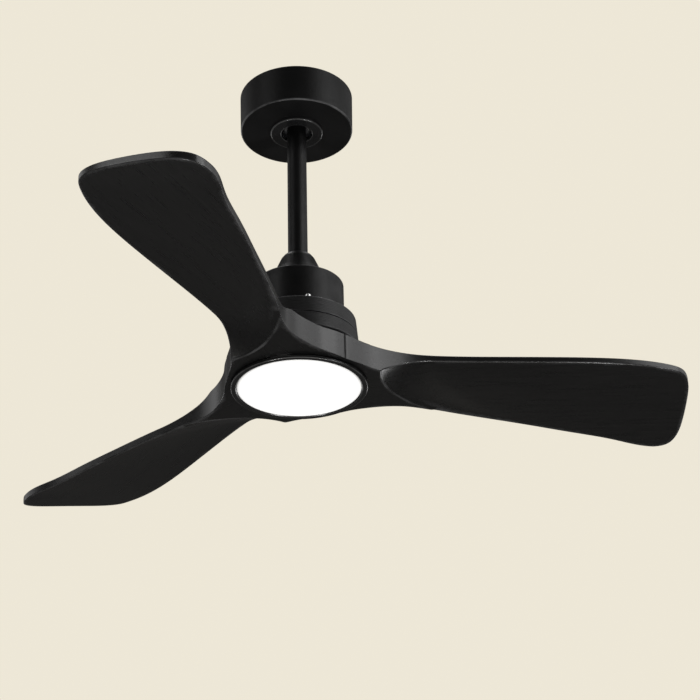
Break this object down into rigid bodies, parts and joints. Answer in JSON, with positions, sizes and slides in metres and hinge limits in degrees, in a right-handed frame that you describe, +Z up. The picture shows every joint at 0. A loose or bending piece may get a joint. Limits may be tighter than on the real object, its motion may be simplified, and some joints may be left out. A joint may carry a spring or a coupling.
{
  "type": "ceiling fan with light",
  "caption": "Black ceiling fan with carved twisted blades that meet at the hub, a short downrod, a drum canopy and a round opal light under the motor.",
  "frame": {"origin": "on the fan's axis at the ceiling plane, centre of the two outlet-box screw holes", "axes": "+Z up along the downrod, +X along blade 1"},
  "size_m": [0.9409, 0.9724, 0.4714],
  "materials": {
    "black_metal": "satin black powder coat on steel",
    "black_casting": "satin black paint on cast aluminium",
    "cast_metal": "die-cast, as cast",
    "blade_black": "carved wood under satin black lacquer",
    "black_plastic": "semi-gloss black",
    "grey_plastic": "moulded, fine texture",
    "white_plastic": "moulded",
    "nylon": "moulded black nylon",
    "wire_black": "insulated wire",
    "zinc_steel": "zinc plated",
    "screw_silver": "bright nickel plate",
    "bearing_steel": "ground and polished",
    "brass_cage": "pressed",
    "green_metal": "green ground screw",
    "lamination": "stacked electrical steel",
    "magnet": "sintered ferrite",
    "copper": "enamelled copper wire",
    "white_metal": "white reflective enamel",
    "led_yellow": "phosphor",
    "opal_lens": "opal polycarbonate, lit from behind"
  },
  "bodies": {
    "ceiling_mount": {"hanger_bracket": "zinc_steel", "canopy": "black_metal", "canopy_screws": "zinc_steel", "canopy_trim_ring": "black_plastic", "receiver_module": "grey_plastic", "terminal_block": "white_plastic", "ground_screw": "green_metal"},
    "hanging_frame": {"hanger_ball": "nylon", "ball_cross_pin": "zinc_steel", "ball_set_screw": "zinc_steel", "downrod": "black_metal", "coupling_cover": "black_metal", "motor_yoke": "cast_metal", "clevis_pin": "zinc_steel", "hairpin_clip": "zinc_steel", "yoke_set_screws": "zinc_steel", "upper_housing": "black_metal", "housing_screws": "zinc_steel", "motor_controller": "grey_plastic", "motor_shaft": "zinc_steel", "stator_hub": "cast_metal", "stator_core": "lamination", "stator_windings": "copper", "upper_bearing_inner_ring": "bearing_steel", "lower_bearing_inner_ring": "bearing_steel", "shaft_circlip": "zinc_steel", "light_pan": "white_metal", "shaft_nuts": "zinc_steel", "led_driver": "white_plastic", "led_board": "white_metal", "led_chips": "led_yellow", "board_screws": "zinc_steel", "light_bezel": "black_plastic", "supply_leads": "wire_black"},
    "rotor": {"upper_motor_shell": "black_casting", "lower_motor_shell": "black_casting", "casing_screws": "screw_silver", "rotor_ring": "lamination", "rotor_magnets": "magnet", "upper_bearing_outer_ring": "bearing_steel", "lower_bearing_outer_ring": "bearing_steel", "blade_flange": "zinc_steel", "flange_screws": "zinc_steel", "blade_1": "blade_black", "blade_2": "blade_black", "blade_3": "blade_black", "blade_screws": "zinc_steel"},
    "upper_balls": {"upper_bearing_balls": "bearing_steel", "upper_bearing_cage": "brass_cage"},
    "lower_balls": {"lower_bearing_balls": "bearing_steel", "lower_bearing_cage": "brass_cage"},
    "lens": {"diffuser": "opal_lens"}
  },
  "joints": [
    {"name": "hanger_tilt", "type": "hinge", "parent": "ceiling_mount", "child": "hanging_frame", "pos_m": [0, 0, -0.036], "axis": [0, 1, 0], "range_deg": [-8, 8]},
    {"name": "rotor_spin", "type": "hinge", "parent": "hanging_frame", "child": "rotor", "pos_m": [0, 0, -0.4], "axis": [0, 0, 1], "continuous": true},
    {"name": "upper_ball_orbit", "type": "hinge", "parent": "hanging_frame", "child": "upper_balls", "pos_m": [0, 0, -0.3745], "axis": [0, 0, 1], "continuous": true},
    {"name": "lower_ball_orbit", "type": "hinge", "parent": "hanging_frame", "child": "lower_balls", "pos_m": [0, 0, -0.4055], "axis": [0, 0, 1], "continuous": true},
    {"name": "lens_twist", "type": "hinge", "parent": "hanging_frame", "child": "lens", "pos_m": [0, 0, -0.466], "axis": [0, 0, 1], "range_deg": [0, 15]}
  ],
  "couplings": [
    {"joint": "upper_ball_orbit", "follows": "rotor_spin", "ratio": 0.6158},
    {"joint": "lower_ball_orbit", "follows": "rotor_spin", "ratio": 0.6158}
  ]
}
